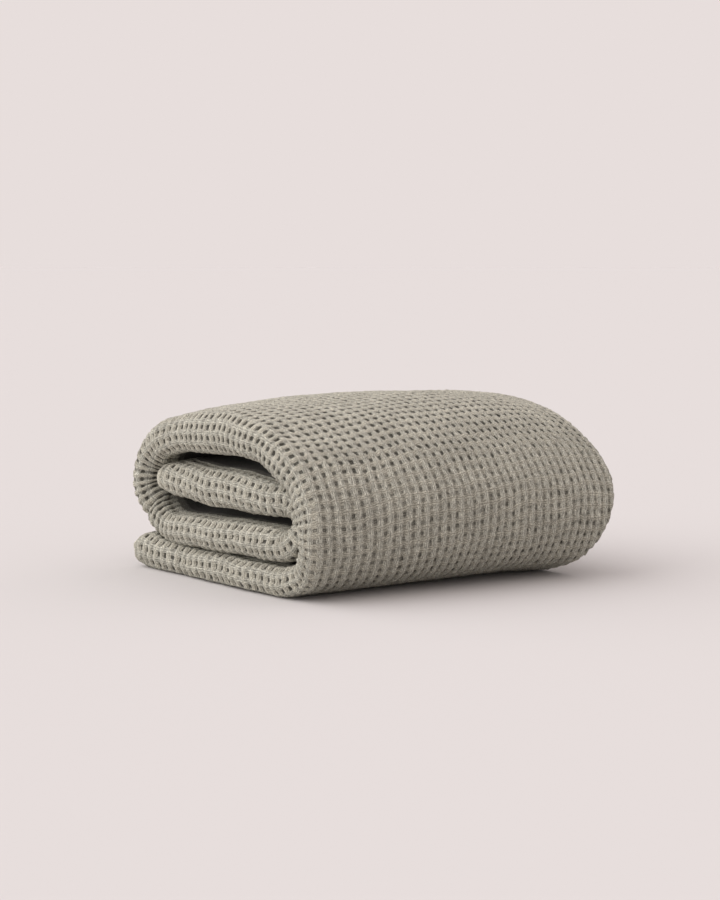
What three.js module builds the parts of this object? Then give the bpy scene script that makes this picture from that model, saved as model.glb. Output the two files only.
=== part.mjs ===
// A linen waffle blanket, folded lengthwise into a strip of six plies and rolled flat into a bundle.
// The whole blanket is one continuous cloth. Seen from the open end, the roll starts inside at the
// left, turns down at the right, comes back underneath, climbs the left side, crosses the top, comes
// down as the long smooth face, and ends as a free tail lying on the table.
// Millimetres, +Z up. X runs along the roll, the open end faces -X and the long face faces -Y.
import * as THREE from "three";

// Cloth
const CLOTH = 4; // one ply of the waffle cloth
const FOLD_SLACK = 1.5; // extra room between an inner fold and the fold around it
const HEM_SETBACK = 7; // the two side hems lie this far inside the near folds
const LAST_PLY = 6; // plies are counted from 1, on the inside of the roll
const MIDDLE_PLY = 3.5; // the strip's middle lies between plies 3 and 4

// Bundle
const ROLL_LENGTH = 370; // along the roll, open end to far end
const FAR_TAPER = 31; // the far end leans back by this much at table height
const TAPER_HEIGHT = 92; // height where that lean ends
const TAPER_POWER = 1.5;
const CROWN = 0.115; // the roll's middle stands this share higher than its ends
const CROWN_SHIFT = 1.2; // above 1, the crown peaks past mid length
const CROWN_POWER = 0.7; // below 1, the crown is broad and flat
const BOW = 11; // the long sides swell by this much at mid length
const BOW_CENTRE = -138; // across, where the swelling changes side
const BOW_REACH = 156; // across, from there to its full amount
const BOW_HEIGHT = 88; // up, where the swelling is full
const BOW_TOP = 184; // up, where it has faded out
const PRESS = 0.5; // the underside is pressed flat on the table by this much

// Free ends of the strip, where the outer plies stop short and the end looks round
const END_ROUNDING = 13;
const END_REACH = 45; // length of strip over which the rounding fades
const END_FULLNESS = 0.98; // keeps the rounding's slope finite at the outermost ply

// Mesh density
const ROWS = 46; // steps along the strip
const ROW_REACH = 30; // one row per this length of straight strip
const ROW_BEND = 0.22; // and one more per this many radians of bend
const LEG_STEPS = 5; // steps along each ply, fold to fold
const SPINE_SAMPLES = 1480;

// The middle of the strip in the order it is rolled, seen from the open end.
// across is to the right, up is above the table, thick is all six plies,
// and inset is how far the strip's edge lies back from the open end.
const SECTION = [
  // across, up, thick, inset
  // inner run, from its free end at the left
  [-260, 94, 28, 6],
  [-241, 93, 32, 6],
  [-207, 91, 37, 5],
  [-166, 90, 40, 4],
  [-124, 91, 42, 4],
  [-87, 91, 41, 4],
  [-58, 90, 36, 4],
  // tight turn down at the right
  [-29.5, 87, 29, 5],
  [-19.5, 79.5, 28, 6],
  [-15.5, 67.5, 28, 6],
  [-19.5, 55.5, 28, 5],
  [-29.5, 48, 29, 4],
  // run below it, back to the left
  [-60, 47, 34, 2],
  [-101, 47, 35, 1],
  [-147, 47, 35, 1],
  [-193, 48, 35, 2],
  [-237, 49, 34, 3],
  // turn up around the left side
  [-268, 59, 31, 4],
  [-288, 82, 30, 4],
  [-285, 107, 32, 3],
  [-261, 126, 37, 2],
  // top run
  [-213, 136, 41, 1],
  [-161, 141, 45, 0],
  [-110, 143, 42, 0],
  [-64, 137, 39, 0],
  [-26, 123, 35, 0],
  // long face
  [4, 102, 31, 0],
  [19, 77, 29, 0],
  [19, 51, 28, 0],
  [5, 28, 28, 0],
  // bottom run and tail
  [-24, 16, 28, 1],
  [-64, 14, 28, 1],
  [-120, 14, 28, 1],
  [-175, 14, 28, 1],
  [-230, 15, 30, 2],
  [-276, 16, 33, 3],
  [-298, 16, 29, 5],
];

// The cloth's way across the strip: it starts at one side hem on ply 4, takes these half-round
// folds in turn, and ends at the other side hem on ply 3. A nested fold lies inside another one.
const FIRST_PLY = 4;
const FOLDS = [
  { from: FIRST_PLY, to: 1, end: "far", nested: false, steps: 5 },
  { from: 1, to: LAST_PLY, end: "near", nested: false, steps: 6 },
  { from: LAST_PLY, to: 5, end: "far", nested: false, steps: 3 },
  { from: 5, to: 2, end: "near", nested: true, steps: 4 },
  { from: 2, to: 3, end: "far", nested: true, steps: 3 },
];
const NEAR_RADIUS = 2.5; // the outer near fold, in ply pitches
const FAR_RADIUS = 1.5; // the outer far fold, in ply pitches

// Linen
const LINEN_COLOUR = 0x9d978b;
const LINEN_ROUGHNESS = 0.95;

const clamp = THREE.MathUtils.clamp;
const lerp = THREE.MathUtils.lerp;

// Points along the middle of the strip, with running length, running bend and the outward normal.
function traceSpine() {
  const stations = SECTION.map(([across, up, thick]) => new THREE.Vector3(across, up, thick));
  const curve = new THREE.CatmullRomCurve3(stations, false, "centripetal");
  const insets = SECTION.map(([, , , inset]) => inset);
  const last = SECTION.length - 1;
  const samples = [];
  for (let i = 0; i <= SPINE_SAMPLES; i += 1) {
    const t = i / SPINE_SAMPLES;
    const point = curve.getPoint(t);
    const tangent = curve.getTangent(t);
    const heading = new THREE.Vector2(tangent.x, tangent.y).normalize();
    const station = Math.min(Math.floor(t * last), last - 1);
    const inset = lerp(insets[station], insets[station + 1], t * last - station);
    const before = samples[i - 1];
    const stepLength = before ? Math.hypot(point.x - before.across, point.y - before.up) : 0;
    const stepBend = before ? Math.abs(before.heading.angleTo(heading)) : 0;
    samples.push({
      across: point.x,
      up: point.y,
      thick: point.z,
      inset,
      heading,
      outAcross: -heading.y,
      outUp: heading.x,
      length: (before ? before.length : 0) + stepLength,
      bend: (before ? before.bend : 0) + stepBend,
    });
  }
  return samples;
}

const SPINE = traceSpine();
const STRIP_LENGTH = SPINE[SPINE_SAMPLES].length;

// The strip's middle at a given length from its inner end.
function spineAt(length) {
  let low = 0;
  let high = SPINE_SAMPLES;
  while (high - low > 1) {
    const middle = (low + high) >> 1;
    if (SPINE[middle].length <= length) {
      low = middle;
    } else {
      high = middle;
    }
  }
  const a = SPINE[low];
  const b = SPINE[high];
  const share = clamp((length - a.length) / (b.length - a.length), 0, 1);
  const place = {};
  for (const key of ["across", "up", "thick", "inset", "outAcross", "outUp"]) {
    place[key] = lerp(a[key], b[key], share);
  }
  return place;
}

// Lengths at which the rows lie: closer together where the strip bends.
function rowLengths() {
  const weights = SPINE.map((s) => s.length / ROW_REACH + s.bend / ROW_BEND);
  const total = weights[SPINE_SAMPLES];
  const lengths = [];
  let i = 0;
  for (let row = 0; row <= ROWS; row += 1) {
    const wanted = (total * row) / ROWS;
    while (i < SPINE_SAMPLES - 1 && weights[i + 1] < wanted) {
      i += 1;
    }
    const share = (wanted - weights[i]) / (weights[i + 1] - weights[i]);
    lengths.push(lerp(SPINE[i].length, SPINE[i + 1].length, clamp(share, 0, 1)));
  }
  return lengths;
}

// The cloth's mid surface across one row: along the roll, out from the strip's middle,
// and the direction in which its outer side faces.
function crossSection(pitch, near, far) {
  const turn = {
    near: near + NEAR_RADIUS * pitch + CLOTH / 2,
    far: far - FAR_RADIUS * pitch - CLOTH / 2,
  };
  const inward = { near: FOLD_SLACK, far: -FOLD_SLACK };
  const hem = turn.near + HEM_SETBACK;
  const plyHeight = (ply) => (ply - MIDDLE_PLY) * pitch;
  const path = [];

  const addLeg = (start, stop, ply) => {
    const facing = Math.sign(stop - start);
    for (let i = 0; i < LEG_STEPS; i += 1) {
      const along = lerp(start, stop, i / LEG_STEPS);
      path.push({ along, out: plyHeight(ply), faceAlong: 0, faceOut: facing });
    }
  };
  const addFold = (centre, fold) => {
    const middle = (plyHeight(fold.from) + plyHeight(fold.to)) / 2;
    const radius = (Math.abs(fold.from - fold.to) / 2) * pitch;
    const side = Math.sign(fold.from - fold.to);
    const outward = fold.end === "far" ? 1 : -1;
    for (let i = 0; i < fold.steps; i += 1) {
      const angle = (Math.PI * i) / fold.steps;
      path.push({
        along: centre + radius * outward * Math.sin(angle),
        out: middle + radius * side * Math.cos(angle),
        faceAlong: side * Math.sin(angle),
        faceOut: outward * Math.cos(angle),
      });
    }
  };

  let start = hem;
  for (const fold of FOLDS) {
    const centre = turn[fold.end] + (fold.nested ? inward[fold.end] : 0);
    addLeg(start, centre, fold.from);
    addFold(centre, fold);
    start = centre;
  }
  const lastPly = FOLDS[FOLDS.length - 1].to;
  addLeg(start, hem, lastPly);
  path.push({ along: hem, out: plyHeight(lastPly), faceAlong: 0, faceOut: -1 });
  return path;
}

// How the bundle settles: crowned along its length, swollen at the sides, flat on the table.
function settle(along, across, up) {
  const share = clamp(along / ROLL_LENGTH, 0, 1);
  const arch = (s) => clamp(4 * s * (1 - s), 0, 1);
  const crown = 1 + CROWN * arch(share ** CROWN_SHIFT) ** CROWN_POWER;
  const side = clamp((across - BOW_CENTRE) / BOW_REACH, -1, 1);
  const level = clamp(up / BOW_HEIGHT, 0, 1) * clamp((BOW_TOP - up) / BOW_HEIGHT, 0, 1);
  const swollen = across + BOW * side * level * arch(share);
  return [along, -swollen, Math.max(up - PRESS, 0) * crown];
}

// One side of the cloth as a grid of points, a row for each length along the strip.
// side is +1 for the outer side and -1 for the inner side.
function clothSide(side) {
  return rowLengths().map((length) => {
    const { up, thick, inset } = spineAt(length);
    const pitch = (thick - CLOTH) / (LAST_PLY - 1);
    const far = ROLL_LENGTH - FAR_TAPER * clamp(1 - up / TAPER_HEIGHT, 0, 1) ** TAPER_POWER;
    const startFade = clamp(1 - length / END_REACH, 0, 1);
    const endFade = clamp(1 - (STRIP_LENGTH - length) / END_REACH, 0, 1);
    return crossSection(pitch, inset, far).map((place) => {
      const along = place.along + (side * CLOTH / 2) * place.faceAlong;
      const out = place.out + (side * CLOTH / 2) * place.faceOut;
      const depth = clamp(out / (thick / 2), -1, 1);
      const short = END_ROUNDING * (1 - Math.sqrt(1 - END_FULLNESS * depth ** 2));
      const middle = spineAt(length + short * (startFade - endFade));
      return settle(along, middle.across + out * middle.outAcross, middle.up + out * middle.outUp);
    });
  });
}

// The closed cloth: outer side, inner side, and the rim between them.
function clothGeometry() {
  const outer = clothSide(1);
  const inner = clothSide(-1);
  const columns = outer[0].length - 1;
  const count = (ROWS + 1) * (columns + 1);
  const front = (row, column) => row * (columns + 1) + column;
  const back = (row, column) => count + front(row, column);
  const index = [];
  for (let row = 0; row < ROWS; row += 1) {
    for (let column = 0; column < columns; column += 1) {
      const corners = [[row, column], [row + 1, column], [row + 1, column + 1], [row, column + 1]];
      const [a, b, c, d] = corners.map(([i, j]) => front(i, j));
      const [e, f, g, h] = corners.map(([i, j]) => back(i, j));
      index.push(a, b, c, a, c, d, e, g, f, e, h, g);
    }
  }
  const addRim = (from, to) => {
    const [p, q] = [front(...from), front(...to)];
    const [r, s] = [back(...from), back(...to)];
    index.push(q, p, r, q, r, s);
  };
  for (let row = 0; row < ROWS; row += 1) {
    addRim([row, 0], [row + 1, 0]);
    addRim([row + 1, columns], [row, columns]);
  }
  for (let column = 0; column < columns; column += 1) {
    addRim([ROWS, column], [ROWS, column + 1]);
    addRim([0, column + 1], [0, column]);
  }
  const geometry = new THREE.BufferGeometry();
  const positions = [...outer, ...inner].flat(2);
  geometry.setAttribute("position", new THREE.Float32BufferAttribute(positions, 3));
  geometry.setIndex(index);
  return geometry;
}

function makeBlanket() {
  const geometry = clothGeometry();
  geometry.computeBoundingBox();
  const middle = geometry.boundingBox.getCenter(new THREE.Vector3());
  geometry.translate(-middle.x, -middle.y, 0);
  geometry.computeVertexNormals();
  const linen = new THREE.MeshStandardMaterial({
    color: LINEN_COLOUR,
    roughness: LINEN_ROUGHNESS,
    metalness: 0,
  });
  const blanket = new THREE.Mesh(geometry, linen);
  blanket.name = "blanket";
  return blanket;
}

const part = new THREE.Group();
part.add(makeBlanket());

export default part;
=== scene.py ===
import itertools
import math
from types import SimpleNamespace

import bpy
import numpy as np
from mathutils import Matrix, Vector


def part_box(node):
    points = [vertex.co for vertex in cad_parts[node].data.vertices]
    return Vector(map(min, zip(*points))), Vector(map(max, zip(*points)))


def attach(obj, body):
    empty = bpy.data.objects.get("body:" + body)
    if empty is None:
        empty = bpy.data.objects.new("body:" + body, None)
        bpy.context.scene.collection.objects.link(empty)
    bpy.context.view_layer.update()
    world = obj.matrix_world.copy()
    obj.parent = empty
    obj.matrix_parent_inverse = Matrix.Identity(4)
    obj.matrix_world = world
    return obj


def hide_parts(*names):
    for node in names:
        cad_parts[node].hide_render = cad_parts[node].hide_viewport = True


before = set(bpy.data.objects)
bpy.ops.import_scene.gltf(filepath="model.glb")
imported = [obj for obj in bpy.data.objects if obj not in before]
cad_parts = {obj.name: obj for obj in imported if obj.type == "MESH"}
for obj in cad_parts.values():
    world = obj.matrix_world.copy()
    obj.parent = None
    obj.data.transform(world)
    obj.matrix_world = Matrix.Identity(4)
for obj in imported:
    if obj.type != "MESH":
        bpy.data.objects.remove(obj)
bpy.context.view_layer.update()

# A linen waffle blanket, folded lengthwise into a strip of six plies and rolled flat into a bundle.
# Lengths are in millimetres until the mesh is made. A station is a row of the section's table.
MM = 0.001

# Cloth and strip, as in the part
CLOTH = 4.0
PLY = {1: -2.5, 2: -1.5, 3: -0.5, 4: 0.5, 5: 1.5, 6: 2.5}  # how far out each ply lies, in ply pitches
PLY_GAPS = 5
NEAR_RADIUS = 2.5  # fold at the open end from ply 6 to ply 1, in ply pitches
FAR_RADIUS = 1.5  # fold at the far end from ply 1 to ply 4
TOP_RADIUS = 0.5  # fold at the far end from ply 6 to ply 5
FOLD_SLACK = 1.5  # extra room between an inner fold and the fold around it

# Bundle, as in the part
ROLL_LENGTH = 370.0
TAPER_HEIGHT = 92.0
TAPER_POWER = 1.5
CROWN = 0.115
CROWN_SHIFT = 1.2
CROWN_POWER = 0.7
BOW = 11.0
BOW_CENTRE = -138.0
BOW_REACH = 156.0
BOW_HEIGHT = 88.0
BOW_TOP = 184.0
PRESS = 0.5
END_REACH = 45.0
END_FULLNESS = 0.98

# Shaped a little differently from the part
NEAR_REACH = 0.6  # the fold at the open end stands out this share of its half thickness
HEM_SETBACK = 3.0  # how far the side hems lie inside the folds at the open end
FAR_TAPER = 40.0  # how far the far end leans in at the table
END_ROUNDING = 11.0  # how far the outer plies fall short at the strip's two ends

# The middle of the strip in the order it is rolled, seen from the open end, as in the part
SECTION = np.array([
    # across, up, thick, inset
    # inner run, from its free end at the left
    (-260, 94, 28, 6),
    (-241, 93, 32, 6),
    (-207, 91, 37, 5),
    (-166, 90, 40, 4),
    (-124, 91, 42, 4),
    (-87, 91, 41, 4),
    (-58, 90, 36, 4),
    # tight turn down at the right
    (-29.5, 87, 29, 5),
    (-19.5, 79.5, 28, 6),
    (-15.5, 67.5, 28, 6),
    (-19.5, 55.5, 28, 5),
    (-29.5, 48, 29, 4),
    # run below it, back to the left
    (-60, 47, 34, 2),
    (-101, 47, 35, 1),
    (-147, 47, 35, 1),
    (-193, 48, 35, 2),
    (-237, 49, 34, 3),
    # turn up around the left side
    (-268, 59, 31, 4),
    (-288, 82, 30, 4),
    (-285, 107, 32, 3),
    (-261, 126, 37, 2),
    # top run
    (-213, 136, 41, 1),
    (-161, 141, 45, 0),
    (-110, 143, 42, 0),
    (-64, 137, 39, 0),
    (-26, 123, 35, 0),
    # long face
    (4, 102, 31, 0),
    (19, 77, 29, 0),
    (19, 51, 28, 0),
    (5, 28, 28, 0),
    # bottom run and tail
    (-24, 16, 28, 1),
    (-64, 14, 28, 1),
    (-120, 14, 28, 1),
    (-175, 14, 28, 1),
    (-230, 15, 30, 2),
    (-276, 16, 33, 3),
    (-298, 16, 29, 5),
])
SPINE_STEPS = 40  # samples from one station to the next
FOLD_ARC_STEPS = 200
RUN_BELOW = 15  # station from which the outermost ply shows, on the run below
BOTTOM_RUN = 31  # station at which it has gone under the bundle
TAIL = 34  # station from which the tail's upper side shows

# How steeply a change fades past its reach along the strip, as a power
SOFT = 2
FIRM = 4
STEEP = 6

# Waffle: a cell has four lattice lines each way, at its ridge's two edges and its pit floor's two edges
LINES = 4
RIDGE = (0, 1)
PIT = (2, 3)
ROW_LINES = np.array([0.0, 0.41, 0.54, 0.87])
COLUMN_LINES = np.array([0.0, 0.53, 0.67, 0.86])
COLUMN_CELL = 9.6
FOLD_STRETCH = 2.8  # how much longer a cell is on the crown of the fold at the open end
FOLD_CELLS = 3.4  # the cells to each side over which that fades
ROW_SPACING = (
    # station, length of a cell on the outermost ply
    (0.0, 12.4),
    (9.0, 12.4),
    (13.0, 11.3),
    (17.0, 11.3),
    (20.5, 12.0),
    (22.0, 11.4),
    (23.5, 10.0),
    (25.0, 10.25),
    (28.5, 10.25),
    (31.0, 12.1),
)
RIDGE_RISE = 0.7
RIDGE_ROUGH = 0.2
RIDGE_DIP = 0.45  # a ridge sags this much between its crossings
PIT_DEPTH = 3.0
PIT_SPREAD = 0.35  # how much one pit's depth differs from the next
SHADE_SPREAD = 0.2  # how much its painted shade does
PIT_SHIFT = 0.7
PIT_SWELL = 0.5
LINE_JITTER = 0.35
STAGGER = 0.7  # how far the rows step from one column to the next
STAGGER_LENGTH = 80.0
UNDERSIDE_PIT = 0.35  # the pit mask's mean, for the underside that has no cells, so the pits' painted shade is averaged there
HIDDEN_PIT = 4.0  # its value on the inner plies, where deep shade is painted into the colour
SEED = 11

# Hems at the strip's two ends
HEM_LINES = 4  # lattice lines that a hem takes up
HEM_GROOVE_LINE = 2  # the line of its groove, counted from 0 at the edge
HEM_GROOVE = 1.6
HEM_ROUNDING = 1.3
HEM_YARN = 0.305  # the place in a cell of the one yarn along a hem's edge
HEM_TURN = {"front": 0.0, "rim": 0.22, "back": 0.44}  # the way through the cloth's edge, in cells

# The rows run up towards the far end of the long face
SKEW = 0.085
SKEW_FROM = 90.0
SKEW_LONGEST = 240.0
SKEW_STATION = 26.5
SKEW_REACH = 200.0

# The cloth is tight over the long face: its pits are shallow, with less painted shade, and its row
# ridges lie lower, with painted shade where they sink
TIGHT = 0.57
TIGHT_STATION = 27.3
TIGHT_REACH = 75.0
TIGHT_FROM = -8.0
TIGHT_FADE = 24.0
TIGHT_SWELL = (-0.3, 0.7)  # change to the pits' half length along the strip and half width across it
ROW_SINK = 1.3
# Painted shade on the sunken stretches of the row ridges
ROW_SHADE = 0.22
CORNER_SHRINK = 0.3  # how much narrower the cells are at the long face's corner with the open end
CORNER_REACH = 70.0

# On top the pits are shallow, with shade painted up to their rims, and the ridge tops get a painted
# highlight
CREST_STATION = 23.2
CREST_REACH = 100.0
CREST_SHADE = 2.4
CREST_DEPTH = 0.4  # the share of their depth that is left
CREST_PAINTED_HIGHLIGHT = 1.0
CREST_OFF_FOLD = 0.6  # how much less so over the fold at the open end

# Over the fold at the open end the row ridges stand out with a painted highlight, the sunken column
# ridges get painted shade, and the pits are uneven and dark with painted shade
FOLD_SINK = 0.5
FOLD_SHADE = 0.08
FOLD_PIT = 1.5
FOLD_SPREAD = 1.6

# The inner side of the turn at the left lies in shade, painted into its colour
WRAP_SHADE = 0.5
WRAP_STATION = 17.8
WRAP_REACH = 62.0
WRAP_FROM = 8.0
WRAP_FADE = 24.0

# The rows slant down the free end of the inner run
SLANT = 0.09
SLANT_STATION = 3.0
SLANT_REACH = 170.0

# Cells kept in relief past the folds that show
NEAR_MARGIN = 1.4
FAR_MARGIN = 1.2
FAR_TUCK = 0.5

# The hidden rest of the cloth: cells to a leg and a fold, and the most that one face spans
HIDDEN_LEG_STEPS = 4
HIDDEN_FOLD_STEPS = 5
BLOCK_CELLS = 6
BLOCK_BEND = 0.16
BLOCK_LENGTH = 40.0

# The cloth laid flat for baking: shares of the height for its two sides, and lanes for its rim
FRONT_SHARE = 0.93
BACK_SHARE = 0.04
RIM_LANE = 0.0015
RIM_LANES = 4  # to each edge
LEAST_WIDTH = 0.1

# Waves over the cloth: turns per metre along the strip and across it, phase, height in mm
ROW_WANDER = (
    (3.1, 6.7, 0.4, 0.75),
    (8.9, 12.1, 2.3, 0.45),
    (14.3, -9.7, 4.4, 0.3),
)
COLUMN_WANDER = (
    (5.9, 2.3, 1.1, 0.75),
    (11.7, -6.1, 3.7, 0.45),
    (19.1, 8.3, 5.2, 0.3),
)
# The same, along the strip and along the roll, for how full the strip lies
FULLNESS = (
    (4.3, 2.9, 0.7, 0.6),
    (7.9, -6.3, 2.9, 0.5),
    (13.7, 8.9, 5.1, 0.3),
)
FULLNESS_BELOW = 0.7
# The same, along the roll and out through the strip, for how far back each ply of the tail lies
TAIL_WANDER = (
    (4.7, 61.0, 0.6, 1.3),
    (10.3, -97.0, 2.2, 0.8),
)
TAIL_SETBACK = 2.1
# The same, along the strip alone, for the in and out of the fold at the open end
EDGE_WANDER = (
    (6.1, 0.0, 0.9, 0.9),
    (13.3, 0.0, 3.1, 0.6),
    (29.0, 0.0, 5.0, 0.35),
)

# Pinches in the open end where the strip bends
PINCHES = (
    # station, half width, depth
    (8.3, 30.0, 11.0),
    (17.2, 4.5, 4.0),
    (18.4, 14.0, -2.0),
    (25.6, 14.0, 1.2),
    (29.3, 20.0, 5.0),
    (35.6, 18.0, -3.0),
)

# How the layers have settled at the open end, fading along the roll
OPEN_END = (
    # station, lift, thinner each side, inner edge set back, moved to the left
    (0.0, 0.0, 0.0, 0.0, 0.0),
    (1.0, 0.0, 0.8, 0.0, 0.0),
    (2.0, 1.0, 1.5, 0.0, 0.0),
    (3.0, 1.0, 2.0, 0.0, 0.0),
    (4.0, 0.5, 2.2, 0.0, 0.0),
    (5.0, -0.8, 2.0, 0.0, 0.0),
    (6.0, -0.8, 1.2, 0.0, 0.0),
    (8.0, 0.0, 0.0, 0.0, 0.0),
    (11.0, 0.0, 0.0, 0.0, 0.0),
    (12.5, 1.5, 1.5, 0.0, 0.0),
    (13.5, 0.5, 1.5, 0.0, 0.0),
    (14.5, -1.5, 1.5, 0.0, 0.0),
    (15.3, -3.0, 3.0, 0.0, 5.0),
    (16.2, -4.0, 4.0, 1.0, 8.0),
    (17.0, -1.0, 1.0, 4.0, 8.0),
    (17.6, 0.0, -1.5, 10.0, 7.0),
    (18.0, 0.0, -2.5, 12.0, 6.0),
    (19.0, 0.0, -2.5, 10.0, 3.0),
    (20.0, 3.0, 0.0, 4.0, 0.0),
    (21.0, 4.0, 2.0, 1.0, 0.0),
    (23.0, 2.5, 2.2, 0.0, 0.0),
    (24.0, 1.0, 1.0, 0.0, 0.0),
    (25.0, 0.0, 0.0, 0.0, 0.0),
    (30.0, 0.0, 0.0, 0.0, 0.0),
    (31.0, 1.0, -1.0, 0.0, 0.0),
    (32.5, 1.0, -1.0, 0.0, 0.0),
    (33.5, 0.0, 0.0, 0.0, 2.0),
    (34.5, 0.5, -0.5, 0.0, 4.0),
    (35.2, 2.0, -2.5, 0.0, 5.0),
    (36.0, 2.0, -3.0, 0.0, 6.0),
)
OPEN_LIFT, OPEN_THINNER, OPEN_SET_BACK, OPEN_LEFT = range(1, 5)  # the columns of that table
OPEN_END_FULL = 20.0
OPEN_END_FADE = 90.0
SET_BACK_POWER = 1.5  # how fast the set-back grows towards the inner edge

# Creases and dents
CREASES = (
    # station, along the roll, slant, half width, half length, depth
    (17.6, 30.0, 0.10, 9.0, 60.0, 2.2),
    (20.2, 60.0, -0.15, 10.0, 90.0, 1.5),
    (22.2, 250.0, 0.20, 22.0, 90.0, 3.0),
    (24.6, 60.0, -0.25, 18.0, 70.0, 2.4),
    (25.8, 210.0, 0.08, 24.0, 120.0, 1.6),
    (28.4, 300.0, -0.20, 16.0, 60.0, 1.4),
    (29.6, 230.0, 0.03, 17.0, 170.0, 4.0),
)
LEAST_PITCH = 4.3  # plies are pressed no closer than this

# How far the long face's lower edge lifts off the floor
EDGE_LIFT = (
    # along the roll, lift
    (60.0, 0.0),
    (270.0, 4.0),
    (350.0, 1.0),
)
EDGE_STATION = 29.8
EDGE_REACH = 42.0

# Linen
WARP_LINEN = (0.376, 0.364, 0.304, 1)
WEFT_LINEN = (0.366, 0.362, 0.310, 1)
YARNS = 5  # to a cell
YARN_BLEND = 0.06  # half width of the change from one yarn's way to the other's, in cells
HALF_CELL = 0.5
SLUBS = 2.2  # to a cell, along a yarn
SLUB_DETAIL = 3.0
SLUB_SPAN = (0.25, 0.75)  # noise levels between which a slub turns from dark to light
WARP_SLUBS = (0.8, 1.2)
WEFT_SLUBS = (0.62, 1.42)
NOISE_SPAN = (0.3, 0.7)  # the same for clouds and fibres
CLOUDS = 0.35  # to a cell
CLOUD_DETAIL = 3.0
CLOUD_SHADES = (0.93, 1.07)
FIBRES = 9.0  # to a cell
FIBRE_DETAIL = 2.0
FIBRE_SHADES = (0.7, 1.3)
THREAD_SHADES = (0.66, 1.12)  # painted shade between two threads, and painted highlight on a thread's crown
THREAD_FULL = 0.8
PAINTED_RIDGE_HIGHLIGHT = 1.15  # painted highlight: how much paler the ridge tops are where they stand out
PIT_FULL = 0.7  # the pit mask's value from which a pit is in full painted shade
# Painted shade in the pits: the colour's factor where a pit is in full shade
PIT_SHADE = 0.26
# Painted deep shade on the inner plies: the pit mask's value from which it starts, and the colour's
# factor
HIDDEN_FROM = 3.0
HIDDEN_SHADE = 0.3
THREAD_BUMP = 0.7
FIBRE_BUMP = 0.3
BUMP_STRENGTH = 0.6
BUMP_DISTANCE = 0.0008
LINEN_SURFACE = {
    "Roughness": 0.92,
    "Specular IOR Level": 0.25,
    "Sheen Weight": 0.1,
    "Sheen Roughness": 0.5,
    "Sheen Tint": (0.9, 0.87, 0.8, 1),
}
MIX_SOCKETS = {"FLOAT": (2, 3, 0), "RGBA": (6, 7, 2)}  # inputs and output of a mix of numbers or colours

# Stage
FLOOR_RADIUS = 40.0
FLOOR_SIDES = 96
FLOOR_COLOUR = (0.638, 0.624, 0.621, 1)
HORIZON_COLOUR = (0.800, 0.730, 0.716, 1)
ZENITH_COLOUR = (1.000, 0.912, 0.895, 1)
SKY_RISE = (0.12, 0.9)  # heights between which the light turns from one to the other
SUN_FROM = (-0.69, 0.56, 0.46)
SUN_STRENGTH = 2.0
SUN_ANGLE = 95

# Camera
CAMERA_AT = (-1.301, -1.874, 0.324)
CAMERA_YAW = (0.566, 0.824)
IMAGE_HEIGHT = 900
FOCAL = 2266  # in pixels of the image
HORIZON = 200  # pixels above the image's middle
SENSOR = 36


def catmull_rom(stations, steps):
    """Centripetal Catmull-Rom samples through the stations, the same number to each span."""
    first = 2 * stations[0] - stations[1]
    last = 2 * stations[-1] - stations[-2]
    knots = np.vstack([first, stations, last])
    share = np.arange(steps)[:, None] / steps
    spans = []
    for p0, p1, p2, p3 in zip(knots, knots[1:], knots[2:], knots[3:]):
        t1 = np.linalg.norm(p1 - p0) ** 0.5
        t2 = t1 + np.linalg.norm(p2 - p1) ** 0.5
        t3 = t2 + np.linalg.norm(p3 - p2) ** 0.5
        t = t1 + (t2 - t1) * share
        a1 = ((t1 - t) * p0 + t * p1) / t1
        a2 = ((t2 - t) * p1 + (t - t1) * p2) / (t2 - t1)
        a3 = ((t3 - t) * p2 + (t - t2) * p3) / (t3 - t2)
        b1 = ((t2 - t) * a1 + t * a2) / t2
        b2 = ((t3 - t) * a2 + (t - t1) * a3) / (t3 - t1)
        spans.append(((t2 - t) * b1 + (t - t1) * b2) / (t2 - t1))
    spans.append(stations[-1:])
    return np.vstack(spans)


def trace_spine():
    """The strip's middle: its length, section values, outward normal and running bend."""
    points = catmull_rom(SECTION[:, :3], SPINE_STEPS)
    station = np.arange(len(points)) / SPINE_STEPS
    steps = np.hypot(*np.diff(points[:, :2], axis=0).T)
    length = np.concatenate([[0], np.cumsum(steps)])
    heading = np.gradient(points[:, :2], length, axis=0)
    heading /= np.linalg.norm(heading, axis=1)[:, None]
    turned = np.abs(np.diff(np.unwrap(np.arctan2(heading[:, 1], heading[:, 0]))))
    return {
        "station": station,
        "length": length,
        "across": points[:, 0],
        "up": points[:, 1],
        "thick": points[:, 2],
        "inset": np.interp(station, np.arange(len(SECTION)), SECTION[:, 3]),
        "out_across": -heading[:, 1],
        "out_up": heading[:, 0],
        "bend": np.concatenate([[0], np.cumsum(turned)]),
    }


SPINE = trace_spine()
STRIP_LENGTH = SPINE["length"][-1]


def spine_at(name, length):
    """A value of the strip's middle at lengths along it."""
    return np.interp(length, SPINE["length"], SPINE[name])


def length_at(station):
    """The length along the strip at a station."""
    return np.interp(station, SPINE["station"], SPINE["length"])


def window(length, station, reach, power):
    """1 at a station of the strip, fading to 0 on both sides of it."""
    return np.exp(-(((length - length_at(station)) / reach) ** power))


def waves(table, a, b):
    """A sum of plane waves over two distances in mm."""
    total = 0.0
    for turns_a, turns_b, phase, height in table:
        total = total + height * np.sin(2 * np.pi * MM * (turns_a * a + turns_b * b) + phase)
    return total


def near_fold_arc():
    """Angles on the fold at the open end and the way gone from its crown, for a half thickness of 1."""
    angles = np.linspace(0, np.pi / 2, FOLD_ARC_STEPS)
    steps = np.hypot(np.diff(NEAR_REACH * np.cos(angles)), np.diff(np.sin(angles)))
    return angles, np.concatenate([[0], np.cumsum(steps)])


FOLD_ANGLES, FOLD_ARC = near_fold_arc()


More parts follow.
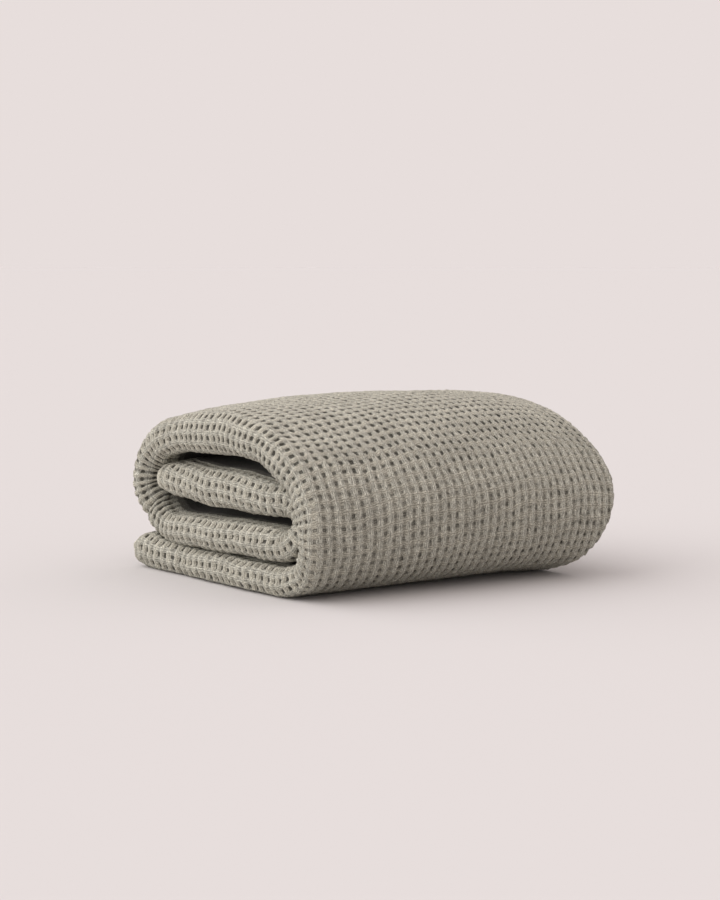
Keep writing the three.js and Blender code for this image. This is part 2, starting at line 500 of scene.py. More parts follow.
def strip_at(length):
    """The ply pitch, the folds' turning centres and the way gone to them, at lengths along the strip."""
    thick = spine_at("thick", length)
    pitch = (thick - CLOTH) / PLY_GAPS
    near = spine_at("inset", length) + waves(EDGE_WANDER, length, 0.0)
    for station, half_width, depth in PINCHES:
        near = near + depth * window(length, station, half_width, SOFT)
    lean = np.clip(1 - spine_at("up", length) / TAPER_HEIGHT, 0, 1) ** TAPER_POWER
    far = ROLL_LENGTH - FAR_TAPER * lean
    near = near + NEAR_REACH * NEAR_RADIUS * pitch + CLOTH / 2
    far = far - FAR_RADIUS * pitch - CLOTH / 2
    near_arc = (NEAR_RADIUS * pitch + CLOTH / 2) * FOLD_ARC[-1]
    far_start = near_arc + far - near
    return SimpleNamespace(
        pitch=pitch,
        near=near,
        far=far,
        near_arc=near_arc,
        far_start=far_start,
        top_far_end=far_start + np.pi * (TOP_RADIUS * pitch + CLOTH / 2),
        under_far_end=far_start + np.pi * (FAR_RADIUS * pitch + CLOTH / 2),
    )


def by_distance(strip, distance):
    """The cloth at a distance from the near fold's crown: along, out, and the way its outer side faces.

    A positive distance goes over ply 6 and its far fold to ply 5, a negative one under ply 1 to ply 4.
    """
    p = strip.pitch
    gone = np.abs(distance)
    top = distance >= 0
    crown = np.sign(distance) * np.interp(gone / (NEAR_RADIUS * p + CLOTH / 2), FOLD_ARC, FOLD_ANGLES)
    lean = np.hypot(np.cos(crown), NEAR_REACH * np.sin(crown))
    over = (gone - strip.far_start) / (TOP_RADIUS * p + CLOTH / 2)
    under = (gone - strip.far_start) / (FAR_RADIUS * p + CLOTH / 2)
    leg = strip.near + gone - strip.near_arc
    zero = np.zeros_like(gone)
    one = zero + 1
    places = (
        (gone < strip.near_arc, (
            strip.near - NEAR_REACH * NEAR_RADIUS * p * np.cos(crown),
            NEAR_RADIUS * p * np.sin(crown),
            -np.cos(crown) / lean,
            NEAR_REACH * np.sin(crown) / lean)),
        (top & (gone < strip.far_start), (leg, PLY[6] * p + zero, zero, one)),
        (top & (gone < strip.top_far_end), (
            strip.far + TOP_RADIUS * p * np.sin(over),
            (PLY[6] - TOP_RADIUS) * p + TOP_RADIUS * p * np.cos(over),
            np.sin(over),
            np.cos(over))),
        (top, (strip.far + strip.top_far_end - gone, PLY[5] * p + zero, zero, -one)),
        (gone < strip.far_start, (leg, PLY[1] * p + zero, zero, -one)),
        (gone < strip.under_far_end, (
            strip.far + FAR_RADIUS * p * np.sin(under),
            (PLY[1] + FAR_RADIUS) * p - FAR_RADIUS * p * np.cos(under),
            np.sin(under),
            -np.cos(under))),
        (one > 0, (strip.far + strip.under_far_end - gone, PLY[4] * p + zero, zero, one)),
    )
    where, values = zip(*places)
    return tuple(np.select(where, choices) for choices in zip(*values))


def leg_points(start, stop, out, face, shares):
    """A straight ply between two places along the roll, as by_distance gives it."""
    along = start + (stop - start) * shares
    zero = np.zeros_like(along)
    return along, out + zero, zero, face + zero


def fold_points(centre, pitch, ply, next_ply, outward, reach, shares):
    """A half turn from one ply to another, as by_distance gives it."""
    angle = np.pi * shares
    middle = (PLY[ply] + PLY[next_ply]) / 2 * pitch
    radius = abs(PLY[ply] - PLY[next_ply]) / 2 * pitch
    side = np.sign(PLY[ply] - PLY[next_ply])
    along = centre + reach * radius * outward * np.sin(angle)
    zero = np.zeros_like(along)
    out = middle + radius * side * np.cos(angle)
    lean = np.hypot(np.sin(angle), reach * np.cos(angle))
    return along, out, side * np.sin(angle) / lean + zero, reach * outward * np.cos(angle) / lean + zero


def columns_of(places):
    """Joins (along, out, face along, face out) groups side by side."""
    return tuple(np.concatenate(group, axis=1) for group in zip(*places))


def hidden_start(strip, first):
    """Ply 4 from its side hem to the first column that is placed by distance."""
    steps = LINES * HIDDEN_LEG_STEPS
    shares = np.arange(steps) / steps
    return leg_points(strip.near + HEM_SETBACK, first, PLY[4] * strip.pitch, 1.0, shares)


def hidden_rest(strip, last):
    """From the last column placed by distance, on ply 5, through plies 2 and 3 to the other side hem."""
    p = strip.pitch
    near = strip.near + FOLD_SLACK
    far = strip.far - FOLD_SLACK
    leg = np.arange(1, LINES * HIDDEN_LEG_STEPS + 1) / (LINES * HIDDEN_LEG_STEPS)
    fold = np.arange(1, LINES * HIDDEN_FOLD_STEPS + 1) / (LINES * HIDDEN_FOLD_STEPS)
    return columns_of([
        leg_points(last, near, PLY[5] * p, -1.0, leg),
        fold_points(near, p, 5, 2, -1.0, NEAR_REACH, fold),
        leg_points(near, far, PLY[2] * p, 1.0, leg),
        fold_points(far, p, 2, 3, 1.0, 1.0, fold),
        leg_points(far, strip.near + HEM_SETBACK, PLY[3] * p, -1.0, leg),
    ])


def at_open_end(length, along, column):
    """A column of the open end's table, fading along the roll."""
    columns = list(zip(*OPEN_END))
    value = np.interp(spine_at("station", length), columns[0], columns[column])
    gone = np.clip((along - OPEN_END_FULL) / OPEN_END_FADE, 0, 1)
    return value * (1 - gone * gone * (3 - 2 * gone))


def fullness(length, along):
    """How much the strip's thickness swells or is pressed in, as a factor."""
    half = spine_at("thick", length) / 2
    change = waves(FULLNESS, length, along) - FULLNESS_BELOW - at_open_end(length, along, OPEN_THINNER)
    for station, middle, slant, half_width, half_length, depth in CREASES:
        off = length - length_at(station) + slant * (along - middle)
        near = np.exp(-((off / half_width) ** 2) - ((along - middle) / half_length) ** 2)
        change = change - depth * near
    least = LEAST_PITCH * PLY_GAPS / (2 * half - CLOTH)
    return np.maximum(1 + change / half, least)


def edge_lift(length, along):
    """How far the long face's lower edge has lifted at a place along the roll."""
    return window(length, EDGE_STATION, EDGE_REACH, SOFT) * np.interp(along, *zip(*EDGE_LIFT))


def settle(along, across, up):
    """How the bundle settles, as in the part."""
    share = np.clip(along / ROLL_LENGTH, 0, 1)
    shifted = share ** CROWN_SHIFT
    arch = 4 * share * (1 - share)
    crown = 1 + CROWN * (4 * shifted * (1 - shifted)) ** CROWN_POWER
    side = np.clip((across - BOW_CENTRE) / BOW_REACH, -1, 1)
    level = np.clip(up / BOW_HEIGHT, 0, 1) * np.clip((BOW_TOP - up) / BOW_HEIGHT, 0, 1)
    swollen = across + BOW * side * level * arch
    return np.stack([along, -swollen, np.maximum(up - PRESS, 0) * crown], axis=-1)


def place_cloth(length, cross, offset):
    """Points of the cloth in the bundle, offset from its mid surface to its outer side."""
    along, out, face_along, face_out = cross
    out = out * fullness(length, along)
    set_back = TAIL_SETBACK + waves(TAIL_WANDER, along, out)
    along = along + offset * face_along
    out = out + offset * face_out
    depth = np.clip(out / (spine_at("thick", length) / 2), -1, 1)
    inner_share = (1 - depth) / 2
    along = along + at_open_end(length, along, OPEN_SET_BACK) * inner_share ** SET_BACK_POWER
    short = END_ROUNDING * (1 - np.sqrt(1 - END_FULLNESS * depth ** 2))
    start_fade = np.clip(1 - length / END_REACH, 0, 1)
    end_fade = np.clip(1 - (STRIP_LENGTH - length) / END_REACH, 0, 1)
    middle = length + short * start_fade - (short + set_back) * end_fade
    across = spine_at("across", middle) + out * spine_at("out_across", middle)
    across = across - at_open_end(length, along, OPEN_LEFT)
    up = spine_at("up", middle) + out * spine_at("out_up", middle)
    up = up + at_open_end(length, along, OPEN_LIFT) + edge_lift(length, along)
    return settle(along, across, up)


def row_skew(length, gone):
    """How far the rows of the outermost ply have run up at a distance from the open end."""
    run = np.clip(gone - SKEW_FROM, 0, SKEW_LONGEST)
    return SKEW * run * window(length, SKEW_STATION, SKEW_REACH, SOFT)


def on_long_face(length):
    """1 over the long face, fading to 0 above and below it."""
    return window(length, TIGHT_STATION, TIGHT_REACH, FIRM)


def tightness(length, gone):
    """How tight the cloth lies, 1 over the middle of the long face."""
    return on_long_face(length) * np.clip((gone - TIGHT_FROM) / TIGHT_FADE, 0, 1)


def corner_shift(length, gone):
    """How far the columns close up round the long face's corner with the open end."""
    return CORNER_SHRINK * gone * np.exp(-((gone / CORNER_REACH) ** 2)) * on_long_face(length)


def row_lines():
    """Lengths of all lines along the strip, four to a cell, and the number of cells."""
    outer_steps = np.diff(SPINE["length"]) + SPINE["thick"][1:] / 2 * np.diff(SPINE["bend"])
    spacing = np.interp(SPINE["station"], *zip(*ROW_SPACING))
    reach = np.concatenate([[0], np.cumsum(outer_steps / spacing[1:])])
    cells = round(reach[-1])
    lines = np.append((np.arange(cells)[:, None] + ROW_LINES).ravel(), cells)
    return np.interp(lines * reach[-1] / cells, reach, SPINE["length"]), cells


def lay_lattice():
    """The lattice before its lines wander: lengths along the strip, distances from the open end's crown.

    A run of columns is placed by distance: as many as cells says, from first on. The rest lie hidden.
    """
    lengths, rows = row_lines()
    strip = strip_at(lengths)
    under = math.ceil(strip.under_far_end.max() / COLUMN_CELL) + 1
    over = math.ceil(strip.top_far_end.max() / COLUMN_CELL) + 1
    cells = under + over
    lines = np.append((np.arange(-under, over)[:, None] + COLUMN_LINES).ravel(), over)
    distances = COLUMN_CELL * lines + FOLD_STRETCH * FOLD_CELLS * np.tanh(lines / FOLD_CELLS)
    first = HIDDEN_LEG_STEPS
    after = 3 * HIDDEN_LEG_STEPS + 2 * HIDDEN_FOLD_STEPS
    gone = np.concatenate([
        distances[0] - COLUMN_CELL * np.arange(LINES * first, 0, -1) / LINES,
        distances,
        distances[-1] + COLUMN_CELL * np.arange(1, LINES * after + 1) / LINES,
    ])
    return SimpleNamespace(
        lengths=lengths, lines=lines, distances=distances, gone=gone,
        rows=rows, first=first, cells=cells, columns=first + cells + after,
    )


def in_cells(grid, row_line, column_line):
    """The lattice points on one line each way of every cell, as a view."""
    return grid[row_line:-1:LINES, column_line:-1:LINES]


def shown_cells(lattice):
    """Which cells show from outside, and so are made in relief."""
    length = (lattice.lengths[0:-1:LINES] + lattice.lengths[LINES::LINES])[:, None] / 2
    middle = (lattice.distances[0:-1:LINES] + lattice.distances[LINES::LINES])[None, :] / 2
    strip = strip_at(length)
    gone = np.abs(middle)
    top = middle > 0
    far_end = np.where(top, strip.top_far_end, strip.under_far_end) + FAR_TUCK * COLUMN_CELL
    near_fold = gone < strip.near_arc + NEAR_MARGIN * COLUMN_CELL
    far_fold = (gone > strip.far_start - FAR_MARGIN * COLUMN_CELL) & (gone < far_end)
    outer_run = (length > length_at(RUN_BELOW)) & (length < length_at(BOTTOM_RUN))
    outer = top & outer_run & (gone < far_end)
    tail = ~top & (length > length_at(TAIL)) & (gone < far_end)
    fine = np.zeros((lattice.rows, lattice.columns), bool)
    fine[:, lattice.first:lattice.first + lattice.cells] = near_fold | far_fold | outer | tail
    return fine


def describe_cells(lattice):
    """For each cell, whether it is in relief, and how far it lies over a fold, on top or tight."""
    length = lattice.lengths[PIT[0]:-1:LINES, None]
    gone = np.zeros((1, lattice.columns))
    gone[0, lattice.first:lattice.first + lattice.cells] = lattice.distances[PIT[0]:-1:LINES]
    fold_end = strip_at(length).near_arc + COLUMN_CELL
    bent = np.clip((fold_end - np.abs(gone)) / COLUMN_CELL, 0, 1)
    crest = window(length, CREST_STATION, CREST_REACH, STEEP) * (1 - CREST_OFF_FOLD * bent)
    return SimpleNamespace(
        fine=shown_cells(lattice), bent=bent, crest=crest, tight=tightness(length, gone))


def plain_mask(lattice):
    """The pit mask where the cloth has no cells: the pits' painted shade averaged on the underside, deep
    painted shade on the inner plies.
    """
    underside = (lattice.gone > 0) & (lattice.gone <= lattice.distances[-1])
    underside = underside[None, :] & (lattice.lengths > length_at(BOTTOM_RUN))[:, None]
    return np.where(underside, UNDERSIDE_PIT, HIDDEN_PIT)


def wrap_shade(lattice):
    """What the turn at the left adds to the pit mask on its inner side: painted shade."""
    inner = np.clip((WRAP_FROM - lattice.gone) / WRAP_FADE, 0, 1)[None, :]
    return WRAP_SHADE * window(lattice.lengths, WRAP_STATION, WRAP_REACH, FIRM)[:, None] * inner


def relief(cells, plain, rng):
    """How far each lattice point lies below a plain cloth, and the pit mask.

    The mask says where light and shade are painted: 0 on most ridges, below 0 on ridges with a painted
    highlight, and the higher the deeper the painted shade.
    """
    fine = cells.fine
    tight = cells.tight
    crest = cells.crest
    bent = cells.bent
    rows, columns = fine.shape
    spread = rng.uniform(-1, 1, fine.shape) * (1 + (FOLD_SPREAD - 1) * bent)
    deep = PIT_DEPTH * (1 + PIT_SPREAD * spread) * (1 - TIGHT * tight)
    deep = deep * (1 - (1 - CREST_DEPTH) * crest)
    # How much shade is painted into each pit
    dark = (1 + SHADE_SPREAD * spread) * (1 - TIGHT * tight) * (1 + CREST_SHADE * crest)
    dark = dark * (1 + (FOLD_PIT - 1) * bent * (1 - tight))
    in_relief = np.kron(fine, np.ones((LINES, LINES), bool))
    touched = np.zeros(plain.shape, bool)
    for down, right in itertools.product((0, 1), (0, 1)):
        touched[down:, right:][:LINES * rows, :LINES * columns] |= in_relief
    depth = np.where(touched, rng.normal(-RIDGE_RISE, RIDGE_ROUGH, plain.shape), 0.0)
    pit = np.where(touched, 0.0, plain)

    # Painted highlight on the ridge tops over the fold at the open end and on top
    painted_highlight = np.maximum(bent, CREST_PAINTED_HIGHLIGHT * crest) * fine
    for row, column in itertools.product(RIDGE, range(LINES)):
        in_cells(pit, row, column)[...] -= painted_highlight
    # Sunken stretches of ridge get painted shade: the column ridges over the fold, the row ridges on the
    # tight face
    for between, ridge in itertools.product(PIT, RIDGE):
        in_cells(depth, between, ridge)[...] += (RIDGE_DIP + FOLD_SINK * bent) * fine
        in_cells(pit, between, ridge)[...] += FOLD_SHADE * bent * fine
        in_cells(depth, ridge, between)[...] += (RIDGE_DIP + ROW_SINK * tight) * fine
        in_cells(pit, ridge, between)[...] += ROW_SHADE * tight * fine
    for row, column in itertools.product(PIT, PIT):
        np.copyto(in_cells(depth, row, column), deep, where=fine)
        np.copyto(in_cells(pit, row, column), dark, where=fine)

    hems = ((slice(0, HEM_LINES), HEM_GROOVE_LINE), (slice(-HEM_LINES, None), -1 - HEM_GROOVE_LINE))
    for hem, groove in hems:
        depth[hem] = 0.0
        depth[groove] = HEM_GROOVE
        pit[hem] = 0.0
    return depth, pit


def pit_moves(cells, rng):
    """How far each pit floor's corners move along the strip and across it."""
    rows, columns = cells.fine.shape
    moves = np.zeros((2, LINES * rows + 1, LINES * columns + 1))
    for axis, move in enumerate(moves):
        shift = PIT_SHIFT * rng.uniform(-1, 1, cells.fine.shape)
        swell = PIT_SWELL * rng.uniform(-1, 1, cells.fine.shape) + TIGHT_SWELL[axis] * cells.tight
        for corner in itertools.product(PIT, PIT):
            way = 1 if corner[axis] == PIT[1] else -1
            in_cells(move, *corner)[...] = shift + swell * way
    return moves


def wander(lattice, moves, rng):
    """Each lattice point's length along the strip and distance from the open end's crown, in the end."""
    row_moves, column_moves = moves
    length = lattice.lengths[:, None] + np.zeros_like(row_moves)
    gone = lattice.gone[None, :] + np.zeros_like(row_moves)
    length = length + waves(ROW_WANDER, length, gone) + row_moves - row_skew(length, gone)
    length = length + rng.uniform(-1, 1, length.shape) * LINE_JITTER
    phase = np.append(np.repeat(rng.uniform(0, 2 * np.pi, lattice.columns), LINES), 0)
    length = length + STAGGER * np.sin(2 * np.pi * length / STAGGER_LENGTH + phase)
    length = np.clip(length, 0, STRIP_LENGTH)
    length[0] = 0
    length[-1] = STRIP_LENGTH
    slant = SLANT * (length - length_at(SLANT_STATION))
    slant = slant * window(length, SLANT_STATION, SLANT_REACH, FIRM)
    shifted = gone + waves(COLUMN_WANDER, length, gone) + column_moves - slant
    shifted = shifted - corner_shift(length, gone)
    return length, shifted + rng.uniform(-1, 1, length.shape) * LINE_JITTER


def weave_rows(rows):
    """The place of each row line in the weave, in cells, and how far it has turned over a hem's edge."""
    row_at = np.append((np.arange(rows)[:, None] + ROW_LINES).ravel(), rows)
    row_at[:2] = HEM_YARN
    row_at[-2:] = rows + HEM_YARN
    turned = np.zeros_like(row_at)
    turned[0] = ROW_LINES[1]
    turned[-1] = 1 - ROW_LINES[-1]
    return row_at, turned


def weave_columns(lattice, cross, part):
    """The place of each column line in the weave, in cells, counted on over the hidden cloth."""
    mid_row = LINES * lattice.rows // 2
    way = np.hypot(np.diff(cross[0][mid_row]), np.diff(cross[1][mid_row])) / COLUMN_CELL
    way = np.concatenate([[0], np.cumsum(way)])
    return np.concatenate([
        lattice.lines[0] + way[:part.start] - way[part.start],
        lattice.lines,
        lattice.lines[-1] + way[part.stop:] - way[part.stop - 1],
    ])


def build_cloth():
    """The cloth over its lattice: points of its sides and middle, pit mask of painted shade and
    highlight, and places in the weave.
    """
    rng = np.random.default_rng(SEED)
    lattice = lay_lattice()
    cells = describe_cells(lattice)
    depth, pit = relief(cells, plain_mask(lattice), rng)
    length, gone = wander(lattice, pit_moves(cells, rng), rng)

    part = slice(LINES * lattice.first, LINES * (lattice.first + lattice.cells) + 1)
    shown = by_distance(strip_at(length[:, part]), gone[:, part])
    start = hidden_start(strip_at(length[:, :1]), shown[0][:, :1])
    rest = hidden_rest(strip_at(length[:, -1:]), shown[0][:, -1:])
    cross = columns_of([start, shown, rest])
    row_at, turned = weave_rows(lattice.rows)
    return SimpleNamespace(
        lattice=lattice,
        fine=cells.fine,
        front=place_cloth(length, cross, CLOTH / 2 - depth),
        back=place_cloth(length, cross, -CLOTH / 2),
        middle=place_cloth(length, cross, 0.0),
        pit=pit + wrap_shade(lattice),
        row_at=row_at,
        turned=turned,
        column_at=weave_columns(lattice, cross, part),
    )


def row_blocks(lattice):
    """Groups of rows that the hidden cloth can span in one face."""
    bends = spine_at("bend", lattice.lengths[::LINES])
    ends = lattice.lengths[::LINES]
    starts = [0, 1]
    for row in range(2, lattice.rows):
        bend = bends[row + 1] - bends[starts[-1]]
        span = ends[row + 1] - ends[starts[-1]]
        if bend > BLOCK_BEND or span > BLOCK_LENGTH or row == lattice.rows - 1:
            starts.append(row)
    return list(zip(starts, starts[1:] + [lattice.rows]))


def column_blocks(lattice):
    """Groups of columns that the hidden cloth can span in one face, single ones where it folds."""
    placed_end = lattice.first + lattice.cells
    starts = list(range(lattice.first)) + list(range(lattice.first, placed_end, BLOCK_CELLS))
    starts += list(range(placed_end, lattice.columns))
    return list(zip(starts, starts[1:] + [lattice.columns]))


def cell_rings(row, column):
    """The small faces of one cell in relief, as rings of (row line, column line)."""
    corners = itertools.product(range(LINES), range(LINES))
    lines = [(LINES * row + i, LINES * column + j) for i, j in corners]
    return [[(i, j), (i + 1, j), (i + 1, j + 1), (i, j + 1)] for i, j in lines]


def tile(fine, bands, groups):
    """Faces over the lattice as rings of (row line, column line): small ones on fine cells."""
    rings = []
    blocks = []
    for (r0, r1), (c0, c1) in itertools.product(bands, groups):
        if not fine[r0:r1, max(c0 - 1, 0):c1 + 1].any():
            blocks.append((r0, r1, c0, c1))
            continue
        for row, column in itertools.product(range(r0, r1), range(c0, c1)):
            if fine[row, column]:
                rings += cell_rings(row, column)
            else:
                blocks.append((row, row + 1, column, column + 1))
    used = {corner for ring in rings for corner in ring}
    blocks = [tuple(LINES * edge for edge in block) for block in blocks]
    for i0, i1, j0, j1 in blocks:
        used.update(((i0, j0), (i1, j0), (i1, j1), (i0, j1)))
    for i0, i1, j0, j1 in blocks:
        border = [(i, j0) for i in range(i0, i1)] + [(i1, j) for j in range(j0, j1)]
        border += [(i, j1) for i in range(i1, i0, -1)] + [(i0, j) for j in range(j1, j0, -1)]
        rings.append([corner for corner in border if corner in used])
    return rings, used


def flat_lines(shown, lines):
    """Places from 0 to 1 of all lattice lines on the flat cloth, wider where more of it shows."""
    widths = np.maximum(np.sqrt(shown / shown.max()), LEAST_WIDTH)
    starts = np.concatenate([[0], np.cumsum(widths)])
    places = (starts[:-1, None] + widths[:, None] * lines).ravel()
    return np.append(places, starts[-1]) / starts[-1]


def rounded_rim(middle):
    """The cloth's middle, with the hems at the strip's two ends rounded out."""
    rim = middle.copy()
    for edge, inside in ((0, 1), (-1, -2)):
        step = middle[edge] - middle[inside]
        rim[edge] += HEM_ROUNDING * step / np.linalg.norm(step, axis=1)[:, None]
    return rim


def on_edge(side, corners, axis, flat, lane):
    """Corners of a face on the cloth's rim: side, lattice point and place on the flat cloth."""
    height = FRONT_SHARE + RIM_LANE * lane
    return [(side, corner, (flat[corner[axis]], height)) for corner in corners]


def rim_faces(lattice, outer_used, inner_used, flats):
    """Faces along the cloth's four edges, from its front over the rim to its back."""
    last_row = LINES * lattice.rows
    last_column = LINES * lattice.columns
    edges = (
        [(0, j) for j in range(last_column, -1, -1)],
        [(last_row, j) for j in range(last_column + 1)],
        [(i, 0) for i in range(last_row + 1)],
        [(i, last_column) for i in range(last_row, -1, -1)],
    )
    faces = []
    for order, edge in enumerate(edges):
        axis = 1 if edge[0][0] == edge[-1][0] else 0
        flat = flats[axis]
        lane = RIM_LANES * order + 1
        upper = [corner for corner in edge if corner in outer_used]
        lower = [corner for corner in edge if corner in inner_used]
        shared = [corner for corner in lower if corner in outer_used]
        for a, b in zip(shared, shared[1:]):
            above = upper[upper.index(a):upper.index(b) + 1]
            below = lower[lower.index(a):lower.index(b) + 1]
            front = on_edge("front", reversed(above), axis, flat, lane)
            faces.append(front + on_edge("rim", (a, b), axis, flat, lane + 1))
            back = on_edge("back", below, axis, flat, lane + 3)
            faces.append(on_edge("rim", (b, a), axis, flat, lane + 2) + back)
    return faces


def cloth_faces(cloth):
    """All faces of the closed cloth, as lists of (side, lattice point, place on the flat cloth)."""
    lattice = cloth.lattice
    bands = row_blocks(lattice)
    singles = [(column, column + 1) for column in range(lattice.columns)]
    outer, outer_used = tile(cloth.fine, bands, column_blocks(lattice))
    inner, inner_used = tile(np.zeros_like(cloth.fine), bands, singles)
    flat_row = flat_lines(cloth.fine.mean(axis=1), ROW_LINES)
    flat_column = flat_lines(cloth.fine.mean(axis=0), COLUMN_LINES)
    faces = []
    front_column = FRONT_SHARE * flat_column
    for ring in outer:
        faces.append([("front", (i, j), (flat_row[i], front_column[j])) for i, j in ring])
    back_column = 1 - BACK_SHARE * flat_column
    for ring in inner:
        faces.append([("back", (i, j), (flat_row[i], back_column[j])) for i, j in reversed(ring)])
    return faces + rim_faces(lattice, outer_used, inner_used, (flat_row, flat_column))


def cloth_mesh(name):
    """The closed cloth as a Blender mesh, with its weave attribute and its pit attribute of painted
    shade and highlight.
    """
    cloth = build_cloth()
    numbers = {}
    faces = []
    spots = []
    for face in cloth_faces(cloth):
        faces.append([numbers.setdefault((side, corner), len(numbers)) for side, corner, spot in face])
        spots += [spot for side, corner, spot in face]

    grids = {"front": cloth.front, "rim": rounded_rim(cloth.middle), "back": cloth.back}
    points = np.array([grids[side][corner] for side, corner in numbers])
    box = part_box("blanket")
    middle = (points.min(axis=0) + points.max(axis=0)) / 2
    for axis in (0, 1):
        points[:, axis] += (box[0][axis] + box[1][axis]) / 2 / MM - middle[axis]

    at_row, at_column = np.array([corner for side, corner in numbers]).T
    through = cloth.turned[at_row] + [HEM_TURN[side] for side, corner in numbers]
    weave = np.stack([cloth.row_at[at_row], cloth.column_at[at_column], through], axis=1)
    pit = cloth.pit[at_row, at_column]

    mesh = bpy.data.meshes.new(name)
    mesh.from_pydata((points * MM).tolist(), [], faces)
    mesh.uv_layers.new(name="OFBake").data.foreach_set("uv", np.array(spots, np.float32).ravel())
    attribute = mesh.attributes.new("weave", "FLOAT_VECTOR", "POINT")
    attribute.data.foreach_set("vector", weave.astype(np.float32).ravel())
    # The pit mask, which says where shade and highlight are painted into the colour
    attribute = mesh.attributes.new("pit", "FLOAT", "POINT")
    attribute.data.foreach_set("value", pit.astype(np.float32))
    mesh.polygons.foreach_set("use_smooth", np.ones(len(faces), bool))
    mesh.update()
    return mesh


class Graph:
    """Short ways to add shader nodes to a material or world."""

    def __init__(self, owner):
        owner.use_nodes = True
        self.tree = owner.node_tree
        self.tree.nodes.clear()

    def add(self, kind, **settings):
        node = self.tree.nodes.new(kind)
        for name, value in settings.items():
            setattr(node, name, value)
        return node

    def put(self, value, socket):
        if isinstance(value, bpy.types.NodeSocket):
            self.tree.links.new(value, socket)
        else:
            socket.default_value = value

    def math(self, operation, *values):
        node = self.add("ShaderNodeMath", operation=operation)
        for value, socket in zip(values, node.inputs):
            self.put(value, socket)
        return node.outputs[0]

    def smooth(self, value, low, high, out_low=0.0, out_high=1.0):
        node = self.add("ShaderNodeMapRange", interpolation_type="SMOOTHSTEP")
        for part, socket in zip((value, low, high, out_low, out_high), node.inputs):
            self.put(part, socket)
        return node.outputs[0]

    def vector(self, x, y, z):
        node = self.add("ShaderNodeCombineXYZ")
        for value, socket in zip((x, y, z), node.inputs):
            self.put(value, socket)
        return node.outputs[0]

    def split(self, vector):
        node = self.add("ShaderNodeSeparateXYZ")
        self.put(vector, node.inputs[0])
        return node.outputs

    def noise(self, vector, scale, detail):
        node = self.add("ShaderNodeTexNoise")
        self.put(vector, node.inputs["Vector"])
        self.put(scale, node.inputs["Scale"])
        self.put(detail, node.inputs["Detail"])
        return node.outputs["Fac"]

    def mix(self, factor, a, b, kind="RGBA", blend="MIX"):
        node = self.add("ShaderNodeMix", data_type=kind, blend_type=blend)
        first, second, result = MIX_SOCKETS[kind]
        self.put(factor, node.inputs["Factor"])
        self.put(a, node.inputs[first])
        self.put(b, node.inputs[second])
        return node.outputs[result]


def linen_yarns(g, across, along, through, slub_shades):
    """Rounded threads side by side, each turning from dark to light along its way."""
    thread = g.math("MULTIPLY", across, YARNS)
    round_thread = g.math("SINE", g.math("MULTIPLY", g.math("FRACT", thread), math.pi))
    at = g.vector(thread, g.math("MULTIPLY", along, SLUBS), g.math("MULTIPLY", through, SLUBS))
    return round_thread, g.smooth(g.noise(at, 1.0, SLUB_DETAIL), *SLUB_SPAN, *slub_shades)


def linen_material():
    """Yarns both ways with slubs and fibres, painted highlight on ridge tops, and painted shade between
    threads, in the pits and on the inner plies.
    """
    material = bpy.data.materials.new("waffle_linen")
    g = Graph(material)
    weave = g.add("ShaderNodeAttribute", attribute_name="weave").outputs["Vector"]
    # The pit mask, which says where shade and highlight are painted into the colour
    pit = g.add("ShaderNodeAttribute", attribute_name="pit").outputs["Fac"]
    row, column, through = g.split(weave)
    row = g.math("SUBTRACT", row, ROW_LINES[1] / 2)
    column = g.math("SUBTRACT", column, COLUMN_LINES[1] / 2)
    from_row = g.math("PINGPONG", row, HALF_CELL)
    from_column = g.math("PINGPONG", column, HALF_CELL)
    nearer = g.math("ADD", g.math("SUBTRACT", from_column, from_row), through)
    on_row = g.smooth(nearer, -YARN_BLEND, YARN_BLEND)

    row_thread, row_slub = linen_yarns(g, row, column, through, WARP_SLUBS)
    column_thread, column_slub = linen_yarns(g, column, row, through, WEFT_SLUBS)
    thread = g.mix(on_row, column_thread, row_thread, "FLOAT")
    fibre = g.noise(weave, FIBRES, FIBRE_DETAIL)
    shade = g.mix(on_row, column_slub, row_slub, "FLOAT")
    factors = (
        g.smooth(g.noise(weave, CLOUDS, CLOUD_DETAIL), *NOISE_SPAN, *CLOUD_SHADES),
        # Painted shade between threads, lighter on their round crowns
        g.smooth(thread, 0.0, THREAD_FULL, *THREAD_SHADES),
        # Painted highlight on ridge tops, painted shade in the pits and, deeper, on the inner plies
        g.smooth(pit, -1.0, 0.0, PAINTED_RIDGE_HIGHLIGHT, 1.0),
        g.smooth(pit, 0.0, PIT_FULL, 1.0, PIT_SHADE),
        g.smooth(pit, HIDDEN_FROM, HIDDEN_PIT, 1.0, HIDDEN_SHADE),
        g.smooth(fibre, *NOISE_SPAN, *FIBRE_SHADES),
    )
    for factor in factors:
        shade = g.math("MULTIPLY", shade, factor)
    grey = g.add("ShaderNodeCombineColor")
    for socket in grey.inputs:
        g.put(shade, socket)
    linen = g.mix(on_row, WEFT_LINEN, WARP_LINEN)
    colour = g.mix(1.0, linen, grey.outputs[0], blend="MULTIPLY")

    bump = g.add("ShaderNodeBump")
    bump.inputs["Strength"].default_value = BUMP_STRENGTH
    bump.inputs["Distance"].default_value = BUMP_DISTANCE
    fibre_height = g.math("MULTIPLY", fibre, FIBRE_BUMP)
    height = g.math("ADD", g.math("MULTIPLY", thread, THREAD_BUMP), fibre_height)
    g.put(height, bump.inputs["Height"])

    shader = g.add("ShaderNodeBsdfPrincipled")
    g.put(colour, shader.inputs["Base Color"])
    g.put(bump.outputs[0], shader.inputs["Normal"])
    for name, value in LINEN_SURFACE.items():
        shader.inputs[name].default_value = value
    g.put(shader.outputs[0], g.add("ShaderNodeOutputMaterial").inputs["Surface"])
    return material


def add_object(name, data):
    """An object in the scene for a mesh, light or camera."""
    made = bpy.data.objects.new(name, data)
    bpy.context.scene.collection.objects.link(made)
    return made


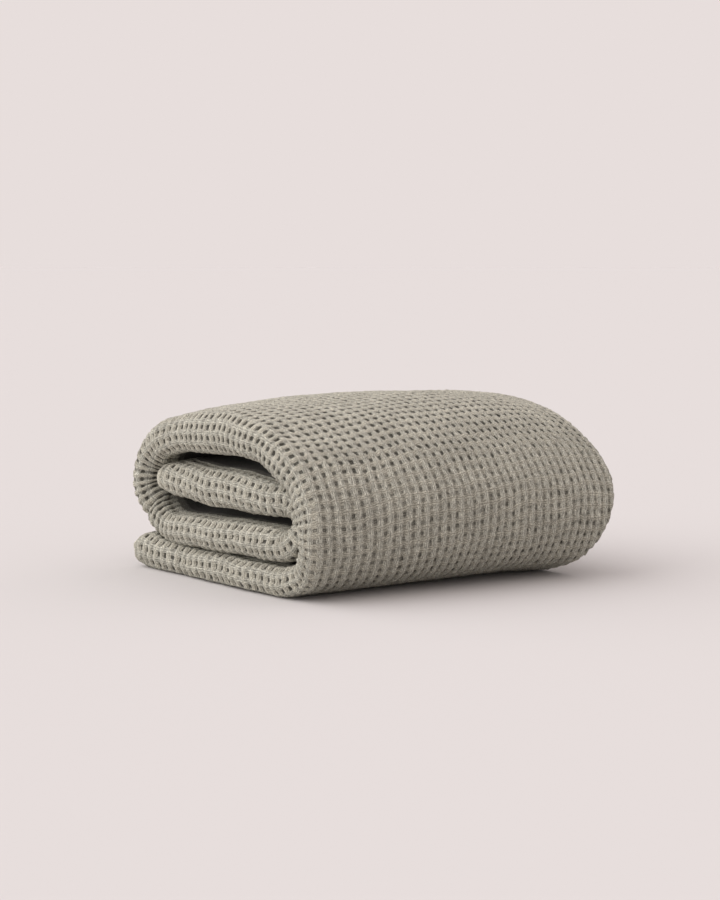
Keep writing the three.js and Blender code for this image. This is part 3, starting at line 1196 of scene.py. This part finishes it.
def make_blanket():
    """The blanket, in place of the part's solid."""
    mesh = cloth_mesh("waffle_blanket")
    mesh.materials.append(linen_material())
    blanket = add_object("waffle_blanket", mesh)
    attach(blanket, "root")
    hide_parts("blanket")


def make_floor():
    """A plain pale floor."""
    ring = [2 * math.pi * k / FLOOR_SIDES for k in range(FLOOR_SIDES)]
    points = [(FLOOR_RADIUS * math.cos(a), FLOOR_RADIUS * math.sin(a), 0.0) for a in ring]
    mesh = bpy.data.meshes.new("floor")
    mesh.from_pydata(points, [], [list(range(FLOOR_SIDES))])
    material = bpy.data.materials.new("floor")
    g = Graph(material)
    shader = g.add("ShaderNodeBsdfDiffuse")
    shader.inputs["Color"].default_value = FLOOR_COLOUR
    g.put(shader.outputs[0], g.add("ShaderNodeOutputMaterial").inputs["Surface"])
    mesh.materials.append(material)
    add_object("floor", mesh)


def make_light():
    """Soft light from all round, brighter from above, and a broad key from behind at the left."""
    world = bpy.data.worlds.new("studio")
    g = Graph(world)
    height = g.split(g.add("ShaderNodeTexCoord").outputs["Generated"])[2]
    colour = g.mix(g.smooth(height, *SKY_RISE), HORIZON_COLOUR, ZENITH_COLOUR)
    light = g.add("ShaderNodeBackground")
    g.put(colour, light.inputs["Color"])
    g.put(light.outputs[0], g.add("ShaderNodeOutputWorld").inputs["Surface"])
    bpy.context.scene.world = world

    sun = bpy.data.lights.new("key", "SUN")
    sun.energy = SUN_STRENGTH
    sun.angle = math.radians(SUN_ANGLE)
    key = add_object("key", sun)
    key.rotation_mode = "QUATERNION"
    key.rotation_quaternion = Vector(SUN_FROM).to_track_quat("Z", "Y")


def make_camera():
    """The photo's view."""
    data = bpy.data.cameras.new("camera")
    data.sensor_width = SENSOR
    data.lens = SENSOR * FOCAL / IMAGE_HEIGHT
    camera = add_object("camera", data)
    camera.location = CAMERA_AT
    forward = Vector((CAMERA_YAW[0], CAMERA_YAW[1], -HORIZON / FOCAL))
    camera.rotation_mode = "QUATERNION"
    camera.rotation_quaternion = forward.to_track_quat("-Z", "Y")
    bpy.context.scene.camera = camera
    bpy.context.scene.view_settings.view_transform = "Standard"


make_camera()
make_floor()
make_light()
make_blanket()
